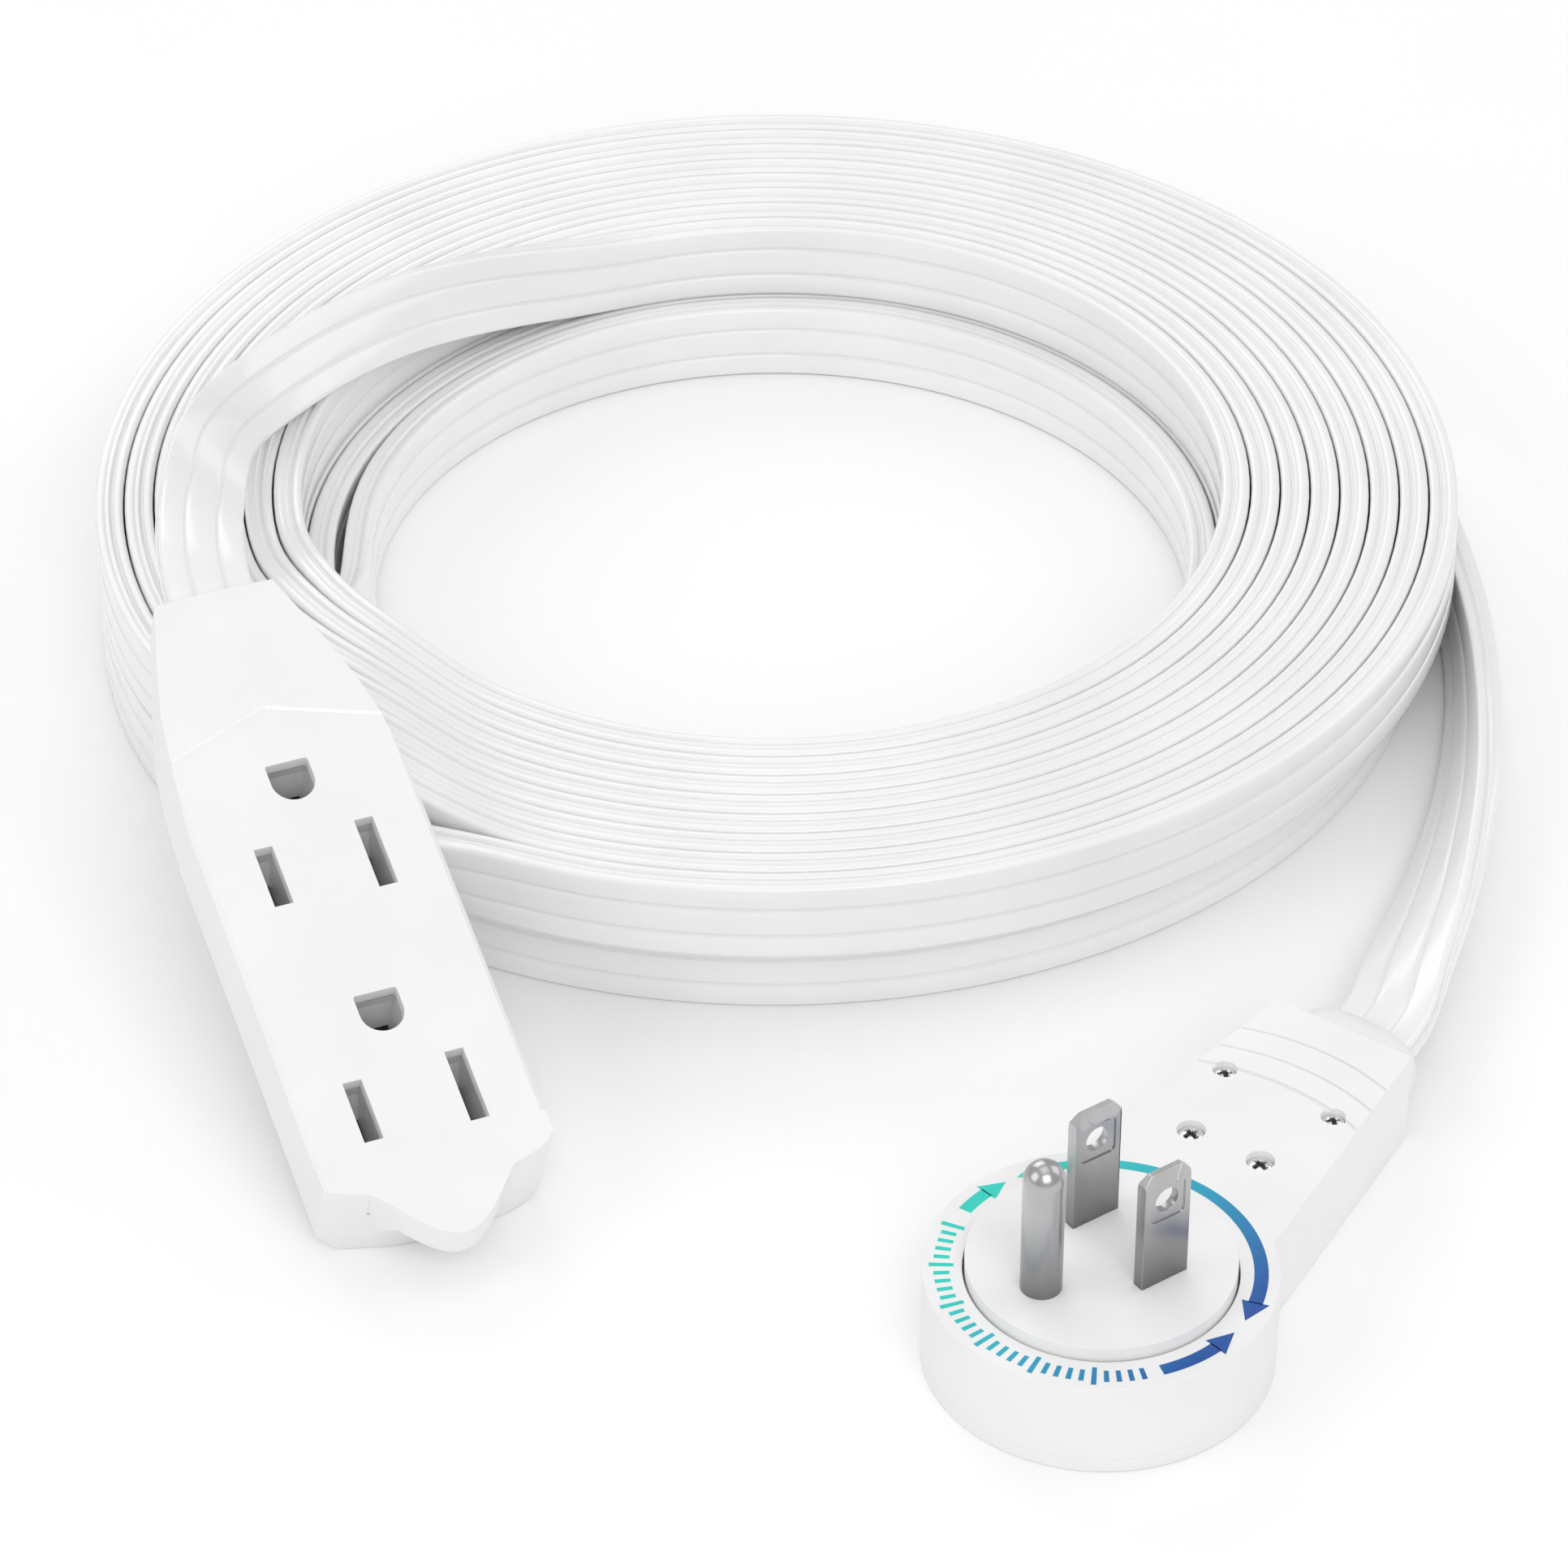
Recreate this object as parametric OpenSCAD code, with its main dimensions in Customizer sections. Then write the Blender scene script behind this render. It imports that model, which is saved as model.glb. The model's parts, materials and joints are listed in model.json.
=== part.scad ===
// Flat-cord extension lead: a two-outlet socket block, a coiled flat cord and a turning flat plug.
// Millimetres, +Z up, lying on the surface z = 0.  +Y runs along the socket block towards its cord.

/* [Outlet block] */
// Width of the socket block
block_w = 28; // [25:0.5:36]
// Length of the socket block without the hanging tab
block_len = 82.5; // [76:0.5:100]
// Thickness of the socket block
block_t = 14; // [13:0.5:18]
// Tilt of the block, its cord end lying on the coil
block_pitch = 22.5; // [22:0.5:30]
// Width of the block at the cord end
tail_w = 15; // [14.6:0.2:18]
// Reach of the rounded hanging tab past the end wall
tab_reach = 9.4; // [6:0.2:12]
// Distance from one outlet to the next
outlet_pitch = 32.5; // [30:0.5:36]

/* [Sockets] */
// Distance between the two blade slots
slot_gap = 12.7; // [12.7:0.1:12.7]
// Distance from the slot line to the ground hole
ground_gap = 11.9; // [11.9:0.1:11.9]
// Length of the long (neutral) slot
neutral_slot = 9.4; // [8:0.1:10]
// Length of the short (live) slot
live_slot = 8; // [7:0.1:9]
// Width of each slot
slot_w = 2.3; // [1.9:0.1:2.6]
// Width of the ground hole
ground_w = 5.3; // [5:0.1:5.8]

/* [Plug] */
// Radius of the round plug head
head_r = 20.2; // [19.8:0.1:24]
// Height of the plug body
head_h = 12.4; // [12:0.1:15]
// Distance from the turning disc's axis to the neck's end
neck_len = 52.2; // [48:0.1:62]
// Half width of the neck at its end
neck_end = 9.2; // [8.8:0.1:12]
// Radius of the turning disc
disc_r = 15.4; // [15:0.1:16]
// Height of the disc above the plug face
disc_proud = 1.65; // [1:0.05:3]
// Angle of the turning disc at rest
disc_turn = -19.5; // [-180:0.5:180]

/* [Prongs] */
// Width of a blade
blade_w = 6.35; // [6.35:0.05:6.35]
// Thickness of a blade
blade_t = 1.5; // [1.4:0.05:1.6]
// Length of a blade above the disc
blade_len = 15.9; // [15.9:0.1:18.2]
// Length of the ground pin above the disc
pin_len = 18; // [17.5:0.1:21]
// Radius of the ground pin
pin_r = 2.4; // [2.36:0.01:2.42]

/* [Cord] */
// Width of the flat cord
cord_w = 10.5; // [9.6:0.1:11]
// Thickness of the flat cord
cord_t = 3.7; // [3.2:0.1:4]
// Outer radius of the coil
coil_r = 88.2; // [86:0.1:88.5]
// Number of turns in the lower tier
turns_low = 9; // [7:1:10]
// Number of turns in the upper tier
turns_up = 8; // [6:1:9]

/* [Hidden] */
$fn = 72;
e = 0.01;
wall = 1.8;
gap = 0.25;

// placing of the three groups
plug_x = 62.7;
plug_y = -80.6;
plug_angle = 32.2;
coil_x = 84.1;
coil_y = 68;

// outlet block
hw = block_w / 2;
tw = tail_w / 2;
split_z = 6;
tab_t = 4.8;
bevel = 3;
ridge_mid = block_len - 18.8;
ridge_side = block_len - 23.3;
tail_drop = 2.6;
tail_rise = 4;
y_low = -tab_reach * cos(block_pitch) - block_t * sin(block_pitch);
y_high = block_len * cos(block_pitch) - tail_rise * sin(block_pitch);
block_y = (y_low + y_high) / 2;
slot_y = 8.7;
cord_z = (tail_rise + block_t - tail_drop) / 2;
bus_z = wall;
bus_t = 0.7;
leaf_t = 0.4;
clip_top = 9.6;
carrier_t = 1.6;

// plug
split_p = 1.8;
lip_z = 9.3;
roof_z = 10.3;
flange_r = disc_r + 1.8;
disc_low = 6.8;
base_low = 5.6;
ring_low = 4.8;
disc_top = head_h + disc_proud;
stud_r = 2.5;
bore_gap = 0.05;
blade_x = 3.4;
pin_x = blade_x - 11.9;
leaf_z = 2.6;
cord_zp = 6.2;
head_screw_x = 26.1;
head_screw_y = 4.7;
neck_screw_x = 37.6;
neck_screw_y = 7.4;
relief_len = 6.2;
line_r = 30;

// coil
turn_step = cord_t + 0.12;
tier_h = cord_w + 0.05;

module place_block() {
    translate([0, -block_y, 0]) rotate([block_pitch, 0, 0]) children();
}

module place_plug() {
    translate([plug_x, plug_y, 0]) rotate([0, 0, plug_angle]) children();
}

module place_disc() {
    place_plug() rotate([0, 0, disc_turn]) children();
}

// ---- helper: flat or round cord swept through hand-set points [x, y, z, twist]
function unit(v) = v / norm(v);
function dir(p, i) = unit([for (k = [0:2]) p[min(i + 1, len(p) - 1)][k] - p[max(i - 1, 0)][k]]);
function side(t) = unit([t[1], -t[0], 0]);
function across(p, i) = let (t = dir(p, i), s = side(t), u = cross(s, t), a = p[i][3])
    s * cos(a) + u * sin(a);
function oval(w, t, n) = [for (k = [0:n - 1]) let (a = 360 * (k + 0.5) / n, c = cos(a))
    [(w - t) / 2 * sign(c) + t / 2 * c, t / 2 * sin(a)]];
function ring_points(p, s, i) = let (t = dir(p, i), a = across(p, i), b = cross(a, t))
    [for (q = s) [p[i][0], p[i][1], p[i][2]] + a * q[0] + b * q[1]];

module sweep(p, s) {
    n = len(s);
    m = len(p);
    pts = [for (i = [0:m - 1]) each ring_points(p, s, i)];
    near = [for (i = [0:m - 2]) for (k = [0:n - 1]) [i * n + k, i * n + (k + 1) % n, (i + 1) * n + (k + 1) % n]];
    far = [for (i = [0:m - 2]) for (k = [0:n - 1]) [i * n + k, (i + 1) * n + (k + 1) % n, (i + 1) * n + k]];
    low = [for (k = [0:n - 1]) n - 1 - k];
    high = [for (k = [0:n - 1]) (m - 1) * n + k];
    polyhedron(points = pts, faces = concat(near, far, [low], [high]), convexity = 8);
}

// ---- outlet block shapes, in the block's own frame: y along it, z = thickness
function body_line(w, d) = [[w, 0], [w, 50], [w - 0.8 - d, ridge_side], [w - 1.9 - d, ridge_side + 6.8],
    [w - 3.7 - d, block_len - 9.5], [tw + (w - hw), block_len],
    [-tw - (w - hw), block_len], [-w + 3.7 + d, block_len - 9.5], [-w + 1.9 + d, ridge_side + 6.8],
    [-w + 0.8 + d, ridge_side], [-w, 50], [-w, 0]];
end_line = [[-13.2, -0.4], [-11.6, -1.1], [-9.2, -1.8], [-6, -2.7], [-3, -3.15], [0, -3.3],
    [3, -3.25], [6, -2.95], [9.2, -2.4], [11.6, -1.6], [13.2, -0.7]];
tab_line = concat([[hw, 0], [hw, 3], [-hw, 3], [-hw, 0]],
    [for (i = [0:26]) let (x = -9.1 + i * 0.7)
        [x, -1.9 - (tab_reach - 1.9) * pow(0.5 + 0.5 * cos(min(180, abs(x) * 19.8)), 0.62)]]);

module tail_cut(z) {
    for (s = [-1, 1])
        translate([0, ridge_mid, z])
        rotate([0, 0, s * atan(4.5 / hw)])
        rotate([90, 0, 90])
        linear_extrude(height = 60, center = true)
        polygon([[0, 0], [40, 40 * -0.1452], [40, 12], [0, 12]]);
}

module body_outer() {
    difference() {
        intersection() {
            linear_extrude(height = block_t) polygon(concat(body_line(hw, 0), end_line));
            translate([0, block_len + 10, 0]) rotate([90, 0, 0]) linear_extrude(height = block_len + 20)
                polygon([[-hw + bevel, 0], [hw - bevel, 0], [hw, bevel], [hw, block_t - 0.6],
                    [hw - 0.6, block_t], [-hw + 0.6, block_t], [-hw, block_t - 0.6], [-hw, bevel]]);
            translate([-hw - 5, 0, 0]) rotate([90, 0, 90]) linear_extrude(height = block_w + 10)
                polygon([[-12, 12 * tan(block_pitch)], [0, 0], [54, 0], [block_len, tail_rise],
                    [block_len + 2, tail_rise], [block_len + 2, block_t], [-12, block_t]]);
        }
        tail_cut(block_t);
    }
}

module body_inner() {
    difference() {
        intersection() {
            translate([0, 0, wall]) linear_extrude(height = block_t - 2 * wall)
                polygon([for (q = body_line(hw - wall, 0.2)) [q[0], min(max(q[1], wall), block_len - wall)]]);
            translate([0, block_len + 10, 0]) rotate([90, 0, 0]) linear_extrude(height = block_len + 20)
                polygon([[-hw + bevel + 1, wall], [hw - bevel - 1, wall], [hw - wall, bevel + 1],
                    [hw - wall, block_t - wall], [-hw + wall, block_t - wall], [-hw + wall, bevel + 1]]);
            translate([-hw - 5, 0, 0]) rotate([90, 0, 90]) linear_extrude(height = block_w + 10)
                polygon([[0, wall], [57, wall], [block_len, tail_rise + wall], [block_len, block_t], [0, block_t]]);
        }
        tail_cut(block_t - wall);
    }
}

module cord_way() {
    translate([-cord_w / 2 - gap, block_len - 6, cord_z - cord_t / 2 - gap])
        cube([cord_w + 2 * gap, 12, cord_t + 2 * gap]);
}

module ground_shape(w) {
    intersection() {
        circle(r = w / 2 * 1.36);
        union() {
            circle(r = w / 2);
            translate([-w / 2, 0]) square([w, w / 2]);
        }
    }
}

module socket_holes(z0, z1, more) {
    for (k = [0, 1])
        translate([0, slot_y + k * outlet_pitch, z0]) {
            translate([-slot_gap / 2 - slot_w / 2 - more, -live_slot / 2 - more, 0])
                cube([slot_w + 2 * more, live_slot + 2 * more, z1 - z0]);
            translate([slot_gap / 2 - slot_w / 2 - more, -neutral_slot / 2 - more, 0])
                cube([slot_w + 2 * more, neutral_slot + 2 * more, z1 - z0]);
            translate([0, ground_gap, 0]) linear_extrude(height = z1 - z0) ground_shape(ground_w + 2 * more);
        }
}

module outlet_front_cover() {
    color([0.95, 0.95, 0.95])
    place_block()
    difference() {
        union() {
            intersection() {
                body_outer();
                translate([-30, -20, split_z]) cube([60, 120, 20]);
            }
            translate([0, 0, block_t - tab_t]) linear_extrude(height = tab_t) polygon(tab_line);
        }
        difference() {
            body_inner();
            translate([-30, -20, -5]) cube([60, 20 + wall, 30]);
        }
        socket_holes(block_t - wall - 1, block_t + 1, 0);
        cord_way();
    }
}

module outlet_back_cover() {
    color([0.93, 0.93, 0.93])
    place_block()
    union() {
        difference() {
            intersection() {
                body_outer();
                translate([-30, -20, -1]) cube([60, 120, split_z + 1]);
            }
            body_inner();
            cord_way();
        }
        // saddle under the cord
        translate([-5, 70, 3.9]) cube([10, 4, cord_z - cord_t / 2 - 3.9]);
        // rests for the two outer strips
        for (s = [-1, 1]) translate([s * 9.6 - 0.6, 24, wall]) cube([1.2, 12, clip_top - wall]);
    }
}

module outlet_contact_carrier() {
    color([0.85, 0.83, 0.78])
    place_block()
    difference() {
        translate([-hw + wall + 1.2, wall + 0.6, block_t - wall - carrier_t])
            cube([block_w - 2 * wall - 2.4, 55, carrier_t]);
        socket_holes(block_t - 2 * wall - 1, block_t, 0.3);
    }
}

module strip(x, w, y0, y1) {
    translate([x - w / 2, y0, bus_z]) cube([w, y1 - y0, bus_t]);
}

module blade_clip(x, y, len, open) {
    for (s = [-1, 1])
        translate([x + s * open - leaf_t / 2, y - len / 2, bus_z + bus_t])
            cube([leaf_t, len, clip_top - bus_z - bus_t]);
}

module outlet_live_bus() {
    color([0.8, 0.65, 0.3])
    place_block()
    union() {
        strip(-slot_gap / 2, 4, 3.4, 56.8);
        for (k = [0, 1]) blade_clip(-slot_gap / 2, slot_y + k * outlet_pitch, live_slot - 1, 0.95);
    }
}

module outlet_neutral_bus() {
    color([0.8, 0.65, 0.3])
    place_block()
    union() {
        strip(slot_gap / 2, 4, 3.4, 56.8);
        for (k = [0, 1]) blade_clip(slot_gap / 2, slot_y + k * outlet_pitch, neutral_slot - 1, 0.95);
    }
}

module outlet_ground_bus() {
    color([0.8, 0.65, 0.3])
    place_block()
    union() {
        strip(0, 5.4, slot_y + 6, 56.8);
        for (k = [0, 1]) blade_clip(0, slot_y + ground_gap + k * outlet_pitch - 1.4 * k, 5 - 2.8 * k, 2.5);
    }
}

module outlet_cord_clamp() {
    color([0.75, 0.75, 0.72])
    place_block()
    difference() {
        translate([-7, 70, cord_z + cord_t / 2]) cube([14, 4, 4]);
        tail_cut(block_t - wall - 0.1);
        translate([-10, 60, block_t - wall - 0.1]) cube([20, 20, 10]);
    }
}

// one wire from the cord's end down to its strip; x0 at the cord, x1 at the strip
module block_lead(x0, x1) {
    place_block()
    sweep([[x0, 66.4, cord_z, 0], [x0, 64.6, cord_z, 0], [x0 * 0.6 + x1 * 0.4, 62.6, cord_z - 1, 0],
        [x0 * 0.2 + x1 * 0.8, 60.8, cord_z - 2.4, 0], [x1, 59.4, 4.2, 0], [x1, 57.6, 3.7, 0]],
        oval(2.2, 2.2, 10));
}

module outlet_live_lead() {
    color([0.12, 0.12, 0.12]) block_lead(-3.4, -slot_gap / 2);
}

module outlet_neutral_lead() {
    color([0.92, 0.92, 0.9]) block_lead(3.4, slot_gap / 2);
}

module outlet_ground_lead() {
    color([0.1, 0.5, 0.25]) block_lead(0, 0);
}

module outlet_crimps() {
    color([0.82, 0.7, 0.4])
    place_block()
    for (x = [-slot_gap / 2, 0, slot_gap / 2])
        difference() {
            translate([x - 1.6, 52, bus_z + bus_t]) cube([3.2, 4.6, 2.6]);
            translate([x - 0.9, 52.8, bus_z + bus_t + 0.8]) cube([1.8, 4.6, 3]);
        }
}

// ---- plug shapes, in the plug's own frame: disc axis at the origin, x towards the cable
module plug_plan(d) {
    union() {
        circle(r = head_r - d);
        polygon([[0, 15.4 - d], [0, -15.4 + d], [neck_len - d, -neck_end + d], [neck_len - d, neck_end - d]]);
    }
}

module grip_line(x, w, deep) {
    intersection() {
        translate([x + 1.8 - line_r, 0, head_h - deep])
            difference() {
                cylinder(r = line_r + w / 2, h = deep + 1, $fn = 120);
                translate([0, 0, -1]) cylinder(r = line_r - w / 2, h = deep + 3, $fn = 120);
            }
        translate([x - 4, -20, head_h - deep - 1]) cube([8, 40, deep + 3]);
    }
}

module head_screw_spots() {
    for (s = [-1, 1]) translate([head_screw_x, s * head_screw_y, 0]) children();
}

module neck_screw_spots() {
    for (s = [-1, 1]) translate([neck_screw_x, s * neck_screw_y, 0]) children();
}

module plug_front_cover() {
    color([0.95, 0.95, 0.95])
    place_plug()
    difference() {
        translate([0, 0, split_p]) linear_extrude(height = head_h - split_p) plug_plan(0);
        // hollow of the round head and of the neck
        translate([0, 0, split_p - 1]) cylinder(r = head_r - wall, h = lip_z - split_p + 1);
        intersection() {
            translate([0, 0, split_p - 1]) linear_extrude(height = roof_z - split_p + 1) plug_plan(wall);
            union() {
                translate([10, -20, 0]) cube([60, 40, lip_z]);
                translate([18.6, -20, 0]) cube([60, 40, 20]);
            }
        }
        // round opening for the turning disc
        cylinder(r = disc_r + gap, h = 30);
        // opening for the cable sleeve
        translate([neck_len - 4, -6, split_p - 1]) cube([8, 12, 8.6]);
        for (x = [neck_len - 7.1, neck_len - 11.1]) grip_line(x, 0.35, 0.35);
        grip_line(neck_len - 14.9, 0.6, 0.45);
        // screw recesses and clearance holes
        head_screw_spots() {
            translate([0, 0, head_h - 1.3]) cylinder(r = 1.7, h = 3);
            cylinder(r = 1.15, h = 30);
        }
        neck_screw_spots() {
            translate([0, 0, head_h - 1.3]) cylinder(r = 1.45, h = 3);
            cylinder(r = 0.95, h = 30);
        }
    }
}

module plug_back_cover() {
    color([0.93, 0.93, 0.93])
    place_plug()
    difference() {
        union() {
            linear_extrude(height = split_p) plug_plan(0);
            // ring that carries the turning disc
            difference() {
                translate([0, 0, split_p - e]) cylinder(r = 16.6, h = base_low - 0.1 - split_p + e);
                translate([0, 0, split_p]) cylinder(r = 14.4, h = 10);
                translate([10, -7.6, split_p]) cube([10, 15.2, 10]);
            }
            // centre bearing
            translate([0, 0, split_p - e]) cylinder(r = 4.4, h = 0.7 + e);
            // shelf under the brushes
            translate([17.4, -7.2, split_p - e]) cube([4.4, 14.4, leaf_z - split_p + e]);
            // screw posts
            head_screw_spots() translate([0, 0, split_p - e]) cylinder(r = 2.1, h = roof_z - split_p + e);
            intersection() {
                neck_screw_spots() translate([0, 0, split_p - e]) cylinder(r = 1.9, h = roof_z - split_p + e);
                linear_extrude(height = 20) plug_plan(wall + 0.15);
            }
            // saddle under the cord
            translate([43, -5, split_p - e]) cube([3.6, 10, cord_zp - cord_t / 2 - split_p + e]);
        }
        translate([0, 0, 0.8]) cylinder(r = stud_r + bore_gap, h = 10);
        head_screw_spots() translate([0, 0, 3]) cylinder(r = 1.05, h = 20);
        neck_screw_spots() translate([0, 0, 3]) cylinder(r = 0.85, h = 20);
    }
}

module blade_slots(more) {
    for (s = [-1, 1])
        translate([blade_x - blade_w / 2 - more, s * slot_gap / 2 - blade_t / 2 - more, 0])
            cube([blade_w + 2 * more, blade_t + 2 * more, 40]);
}

// feet of the prongs, held between the disc and its base
module live_foot() {
    translate([blade_x - 2, -13.2, disc_low]) cube([4, 13.2 - slot_gap / 2 + blade_t / 2, 1]);
}

module neutral_foot() {
    translate([blade_x - 2, slot_gap / 2 - blade_t / 2, disc_low]) cube([4, 3, 1]);
}

module ground_foot() {
    translate([pin_x, -2.4, disc_low]) cube([2.6 - pin_x, 4.8, 1]);
}

module plug_disc() {
    color([0.96, 0.96, 0.96])
    place_disc()
    difference() {
        union() {
            translate([0, 0, disc_low]) cylinder(r = flange_r, h = lip_z - 0.2 - disc_low);
            translate([0, 0, disc_low]) cylinder(r = disc_r, h = disc_top - disc_low);
        }
        blade_slots(0);
        translate([pin_x, 0, 0]) cylinder(r = pin_r - 0.2, h = 40);
        live_foot();
        neutral_foot();
        ground_foot();
    }
}

module plug_disc_base() {
    color([0.8, 0.78, 0.72])
    place_disc()
    difference() {
        translate([0, 0, base_low]) cylinder(r = flange_r - 0.2, h = disc_low - base_low);
        cylinder(r = stud_r, h = 20);
        translate([blade_x, -11.6, 0]) cylinder(r = 0.9, h = 20);
        translate([blade_x, 7.3, 0]) cylinder(r = 0.9, h = 20);
    }
}

module one_blade(s) {
    difference() {
        translate([blade_x - blade_w / 2, s * slot_gap / 2 - blade_t / 2, disc_low])
            difference() {
                cube([blade_w, blade_t, disc_top + blade_len - disc_low]);
                // cropped corners of the tip
                for (m = [0, 1]) translate([m * blade_w, -1, disc_top + blade_len - disc_low])
                    rotate([0, 45, 0]) translate([-0.75, 0, -0.75]) cube([1.5, 5, 1.5]);
            }
        // latching hole near the tip
        translate([blade_x, 0, disc_top + blade_len - 4.2]) rotate([90, 0, 0])
            cylinder(r = 1.6, h = 40, center = true);
    }
}

module plug_live_blade() {
    color([0.8, 0.8, 0.82])
    place_disc()
    union() {
        one_blade(-1);
        live_foot();
    }
}

module plug_neutral_blade() {
    color([0.8, 0.8, 0.82])
    place_disc()
    union() {
        one_blade(1);
        neutral_foot();
    }
}

module plug_ground_pin() {
    color([0.8, 0.8, 0.82])
    place_disc()
    union() {
        translate([pin_x, 0, disc_low]) cylinder(r = pin_r - 0.2, h = disc_top - disc_low + 1);
        translate([pin_x, 0, disc_top]) cylinder(r = pin_r, h = pin_len - pin_r);
        translate([pin_x, 0, disc_top + pin_len - pin_r]) sphere(r = pin_r);
        ground_foot();
    }
}

module slip_ring(r0, r1, px, py) {
    union() {
        translate([0, 0, ring_low])
            difference() {
                cylinder(r = r1, h = base_low - ring_low);
                translate([0, 0, -1]) cylinder(r = r0, h = 5);
            }
        translate([px, py, base_low - e]) cylinder(r = 0.9, h = disc_low - base_low + e);
    }
}

module plug_live_ring() {
    color([0.8, 0.65, 0.3]) place_disc() slip_ring(11, 13.2, blade_x, -11.6);
}

module plug_neutral_ring() {
    color([0.8, 0.65, 0.3]) place_disc() slip_ring(6.6, 8.8, blade_x, 7.3);
}

module plug_ground_stud() {
    color([0.8, 0.65, 0.3]) place_disc() translate([0, 0, 1.2]) cylinder(r = stud_r, h = disc_low - 1.2);
}

module brush(x, y) {
    union() {
        translate([x - 1.3, y - 1, leaf_z]) cube([22.5 - x + 1.3, 2, 0.4]);
        translate([x, y, leaf_z + 0.2]) cylinder(r = 1, h = ring_low - 0.1 - leaf_z - 0.2);
    }
}

module plug_live_brush() {
    color([0.8, 0.55, 0.35]) place_plug() brush(10.9, -5.2);
}

module plug_neutral_brush() {
    color([0.8, 0.55, 0.35]) place_plug() brush(5.9, 4.9);
}

module plug_ground_brush() {
    color([0.8, 0.55, 0.35])
    place_plug()
    union() {
        translate([stud_r + 0.12, -1.1, leaf_z]) cube([22.5 - stud_r - 0.12, 2.2, 0.4]);
        translate([stud_r + 0.12, -1.1, leaf_z]) cube([0.4, 2.2, 1.9]);
    }
}

module screw(head, shank, low) {
    union() {
        translate([0, 0, head_h - 1.3])
            difference() {
                cylinder(r = head, h = 0.9);
                // cross slot of the driver
                translate([-head * 0.62, -0.2, 0.4]) cube([head * 1.24, 0.4, 2]);
                translate([-0.2, -head * 0.62, 0.4]) cube([0.4, head * 1.24, 2]);
            }
        translate([0, 0, low]) cylinder(r = shank, h = head_h - 1.3 - low + e);
    }
}

module plug_head_screws() {
    color([0.8, 0.8, 0.82]) place_plug() head_screw_spots() rotate([0, 0, 40]) screw(1.55, 1.05, 3.6);
}

module plug_neck_screws() {
    color([0.8, 0.8, 0.82]) place_plug() neck_screw_spots() rotate([0, 0, 15]) screw(1.32, 0.85, 3.6);
}

module plug_cord_clamp() {
    color([0.75, 0.75, 0.72])
    place_plug()
    translate([43, -6.4, cord_zp + cord_t / 2]) cube([3.6, 12.8, roof_z - 0.1 - cord_zp - cord_t / 2]);
}

module plug_strain_relief() {
    color([0.95, 0.95, 0.95])
    place_plug()
    difference() {
        union() {
            translate([neck_len, 0, cord_zp]) rotate([90, 0, 90]) linear_extrude(height = relief_len)
                union() {
                    square([8.6, 9], center = true);
                    for (s = [-1, 1]) translate([s * 2.2, 0]) circle(r = 4.5);
                }
            translate([neck_len - 3.6, -5.8, split_p + 0.1]) cube([3.6, 11.6, 7.3]);
        }
        translate([neck_len - 6, -cord_w / 2 - 0.1, cord_zp - cord_t / 2 - 0.1])
            cube([20, cord_w + 0.2, cord_t + 0.2]);
    }
}

// one wire from the cord's end to its brush leaf
module plug_lead(pts) {
    place_plug() sweep(pts, oval(2, 2, 10));
}

module plug_live_lead() {
    color([0.12, 0.12, 0.12])
    plug_lead([[42.6, -3.3, cord_zp, 0], [38, -3.4, 6, 0], [33, -5.6, 5.6, 0], [29, -8.2, 5.2, 0],
        [25.4, -8.6, 4.8, 0], [22.8, -7.2, 4.4, 0], [20.6, -5.3, 4.1, 0]]);
}

module plug_neutral_lead() {
    color([0.92, 0.92, 0.9])
    plug_lead([[42.6, 3.3, cord_zp, 0], [38, 3.4, 6, 0], [33, 5.6, 5.6, 0], [29, 8.2, 5.2, 0],
        [25.4, 8.6, 4.8, 0], [22.8, 7.2, 4.4, 0], [20.6, 5.1, 4.1, 0]]);
}

module plug_ground_lead() {
    color([0.1, 0.5, 0.25])
    plug_lead([[42.6, 0, cord_zp, 0], [38, 0, 6, 0], [32, 0, 5.4, 0], [26, 0, 4.6, 0], [20.6, 0, 4.1, 0]]);
}

// ---- cord: two tiers of upright turns, each tier one closed ring of its outer shape
module tier(turns, z) {
    low_r = coil_r - turns * turn_step;
    translate([coil_x, coil_y, z])
    rotate_extrude($fn = 180)
    polygon([[low_r, 0.8], [low_r + 0.8, 0], [coil_r - 0.8, 0], [coil_r, 0.8], [coil_r, tier_h - 0.8],
        [coil_r - 0.8, tier_h], [low_r + 0.8, tier_h], [low_r, tier_h - 0.8]]);
}

module cord_coil_lower() {
    color([0.94, 0.94, 0.94]) tier(turns_low, 0);
}

module cord_coil_upper() {
    color([0.94, 0.94, 0.94]) tier(turns_up, tier_h);
}

// from inside the block, over the coil, down to the innermost upper turn
module cord_tail_outlet() {
    y0 = -block_y + block_len * cos(block_pitch) - cord_z * sin(block_pitch);
    z0 = block_len * sin(block_pitch) + cord_z * cos(block_pitch);
    in_y = 16 * cos(block_pitch);
    in_z = 16 * sin(block_pitch);
    color([0.94, 0.94, 0.94])
    sweep([[0, y0 - in_y, z0 - in_z, 0], [0, y0, z0, 0], [0.3, y0 + 5, z0 + 1.5, 0], [1.6, y0 + 12, z0 + 0.6, 0],
        [4.4, y0 + 21, 35.4, 0], [8.2, y0 + 31, 31, 0], [12.4, 84, 27.4, 0], [17.5, 94, 25, 0],
        [23.5, 104, 23.9, 0], [31, 113.5, 23.8, -8], [40.5, 121, 23.8, -24], [50, 125.6, 22.8, -44],
        [59, 127.8, 20.6, -64], [68, 128.5, 18, -82], [76, 128.2, 16.4, -90], [86, 127.5, 15.9, -90]],
        oval(cord_w, cord_t, 12));
}

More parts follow.
